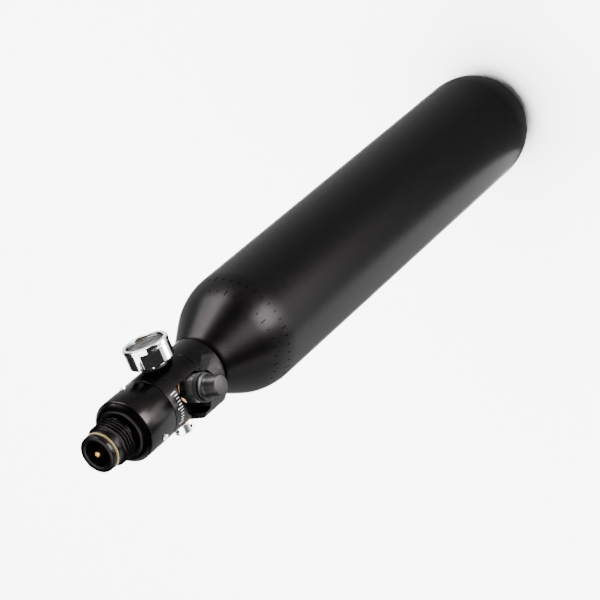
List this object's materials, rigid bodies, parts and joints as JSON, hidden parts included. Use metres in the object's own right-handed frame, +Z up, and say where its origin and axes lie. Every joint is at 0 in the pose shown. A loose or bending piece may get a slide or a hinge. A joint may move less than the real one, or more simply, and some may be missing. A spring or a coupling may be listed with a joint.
{
  "type": "compressed air tank with regulator",
  "caption": "Slim upright compressed air bottle with a screw-in regulator, pressure gauge, capped fill nipple, burst plug and a threaded outlet with a pin valve.",
  "frame": {"origin": "centre of the bottle's flat base, on the tank axis", "axes": "+Z up the tank axis from the base to the outlet, -Y towards the gauge, -X along the fill nipple"},
  "size_m": [0.0605, 0.06, 0.378],
  "materials": {
    "anodised_black": "satin black anodised",
    "anodised_black_body": "satin black anodised",
    "chrome_steel": "polished",
    "steel": "ground",
    "brass": "turned",
    "aluminium": "fine turned",
    "black_rubber": "matt",
    "pale_rubber": "matt",
    "white_plastic": "matt",
    "cap_grey": "satin",
    "dial_print": "satin",
    "clear_lens": "clear",
    "sintered_bronze": "porous",
    "copper": "soft"
  },
  "bodies": {
    "tank": {"bottle": "anodised_black", "neck_o_ring": "black_rubber", "regulator_body": "anodised_black_body", "inlet_filter": "sintered_bronze", "bleed_screw": "steel", "bonnet": "anodised_black_body", "bonnet_o_ring": "black_rubber", "outlet_o_ring": "pale_rubber", "bonnet_lock_screws": "steel", "outlet_valve_housing": "brass", "outlet_spring_retainer": "steel", "outlet_pin_spring": "steel", "disc_springs": "steel", "spring_shim": "steel", "gauge_case": "chrome_steel", "gauge_seal_washer": "black_rubber", "gauge_bezel": "chrome_steel", "gauge_lens": "clear_lens", "gauge_dial": "dial_print", "gauge_movement": "brass", "gauge_bourdon_tube": "copper", "fill_nipple": "chrome_steel", "fill_nipple_washer": "copper", "check_spring": "steel", "cap_retaining_ring": "black_rubber", "burst_plug": "chrome_steel", "burst_plug_washer": "copper", "burst_disc": "copper", "burst_disc_gasket": "white_plastic"},
    "piston": {"piston": "brass", "piston_seat": "white_plastic", "piston_head_o_ring": "black_rubber", "piston_stem_o_ring": "black_rubber"},
    "outlet_pin": {"outlet_pin": "brass", "outlet_pin_seal": "black_rubber"},
    "gauge_pointer": {"gauge_pointer": "brass"},
    "check_poppet": {"check_poppet": "white_plastic"},
    "dust_cap": {"dust_cap": "cap_grey"}
  },
  "joints": [
    {"name": "outlet_pin_slide", "type": "slide", "parent": "tank", "child": "outlet_pin", "axis": [0, 0, -1], "range_m": [0, 0.002], "stiffness_N_per_m": 800, "springref_m": -0.002, "deforming": ["outlet_pin_spring"]},
    {"name": "piston_slide", "type": "slide", "parent": "tank", "child": "piston", "axis": [0, 0, -1], "range_m": [0, 0.0011], "stiffness_N_per_m": 5000, "springref_m": -0.001, "deforming": ["disc_springs"]},
    {"name": "pointer_turn", "type": "hinge", "parent": "tank", "child": "gauge_pointer", "pos_m": [0, -0.023, 0.3227], "axis": [0, 1, 0], "range_deg": [0, 270]},
    {"name": "poppet_slide", "type": "slide", "parent": "tank", "child": "check_poppet", "axis": [1, 0, 0], "range_m": [0, 0.001], "stiffness_N_per_m": 300, "springref_m": -0.001, "deforming": ["check_spring"]},
    {"name": "cap_pull", "type": "slide", "parent": "tank", "child": "dust_cap", "axis": [-1, 0, 0], "range_m": [0, 0.03]}
  ]
}
